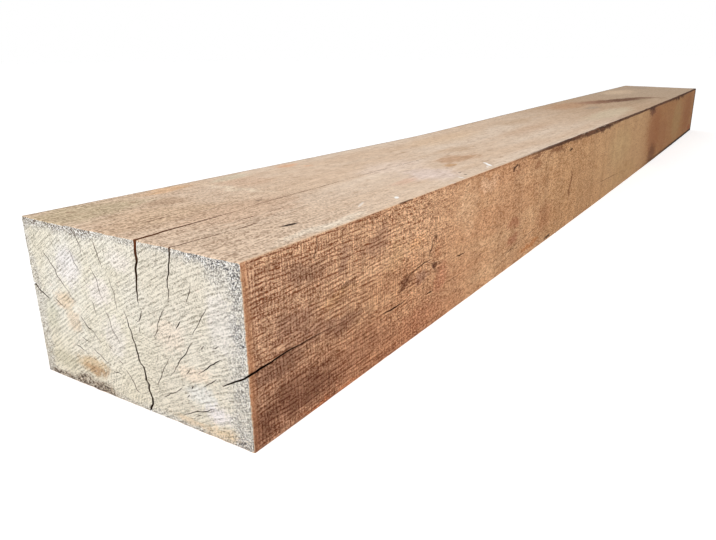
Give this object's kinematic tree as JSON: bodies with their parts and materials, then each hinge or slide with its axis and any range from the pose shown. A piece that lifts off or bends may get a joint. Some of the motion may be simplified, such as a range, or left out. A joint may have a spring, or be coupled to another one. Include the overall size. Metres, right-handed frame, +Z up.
{
  "type": "oak beam",
  "caption": "Long sawn oak beam of rectangular section with boxed heart, a fan of drying checks on its end grain, long splits and a waned edge.",
  "frame": {"origin": "on the floor, under the middle of the beam's box", "axes": "+X along the beam from the pictured end grain to the far end, +Z up, -Y the long side with the wane on its upper edge"},
  "size_m": [2.5, 0.266, 0.163],
  "materials": {
    "oak": "rough sawn, air dried, unfinished"
  },
  "bodies": {
    "root": {"oak_beam": "oak"}
  },
  "joints": []
}
